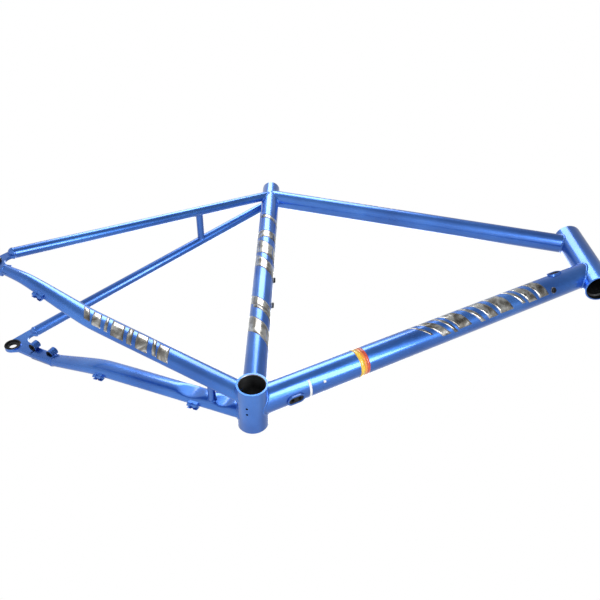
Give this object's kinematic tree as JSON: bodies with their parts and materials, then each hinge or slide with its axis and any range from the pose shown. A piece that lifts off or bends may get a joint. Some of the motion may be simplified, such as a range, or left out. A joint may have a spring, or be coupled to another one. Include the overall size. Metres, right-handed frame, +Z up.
{
  "type": "bicycle frame",
  "caption": "Steel diamond bicycle frame with bent chainstays, through-axle dropouts, disc brake posts, cable ports and bottle mounts.",
  "frame": {"origin": "centre of the bottom bracket shell's bore", "axes": "+X forward, +Y towards the rider's left, which is the brake side, +Z up with the frame as it stands on level wheels"},
  "size_m": [0.8918, 0.1668, 0.576],
  "materials": {
    "frame_paint": "glossy clear coat over fine metallic blue",
    "bare_steel": "machined",
    "black_screws": "black oxide, satin",
    "hanger_screws": "stainless, satin",
    "grommet_rubber": "matte",
    "black_alloy": "black anodised, satin"
  },
  "bodies": {
    "root": {"bottom_bracket_shell": "frame_paint", "seat_tube": "frame_paint", "seat_tube_sleeve": "bare_steel", "top_tube": "frame_paint", "down_tube": "frame_paint", "head_tube": "frame_paint", "chainstay_drive": "frame_paint", "chainstay_brake": "frame_paint", "seatstay_drive": "frame_paint", "seatstay_brake": "frame_paint", "chainstay_bridge": "frame_paint", "seatstay_bridge": "frame_paint", "dropout_drive": "frame_paint", "dropout_brake": "frame_paint", "derailleur_hanger": "black_alloy", "hanger_screws": "hanger_screws", "brake_post_front": "frame_paint", "brake_post_rear": "frame_paint", "seat_tube_bottle_bosses": "bare_steel", "seat_tube_bottle_screws": "black_screws", "down_tube_bottle_bosses": "bare_steel", "down_tube_bottle_screws": "black_screws", "lower_port_rim": "frame_paint", "lower_port_grommet": "grommet_rubber", "upper_port_rim": "frame_paint", "upper_port_grommet": "grommet_rubber", "guide_boss": "bare_steel", "guide_boss_screw": "black_screws", "hose_guide_front": "frame_paint", "hose_guide_rear": "frame_paint", "cable_guide_drive": "frame_paint"}
  },
  "joints": []
}
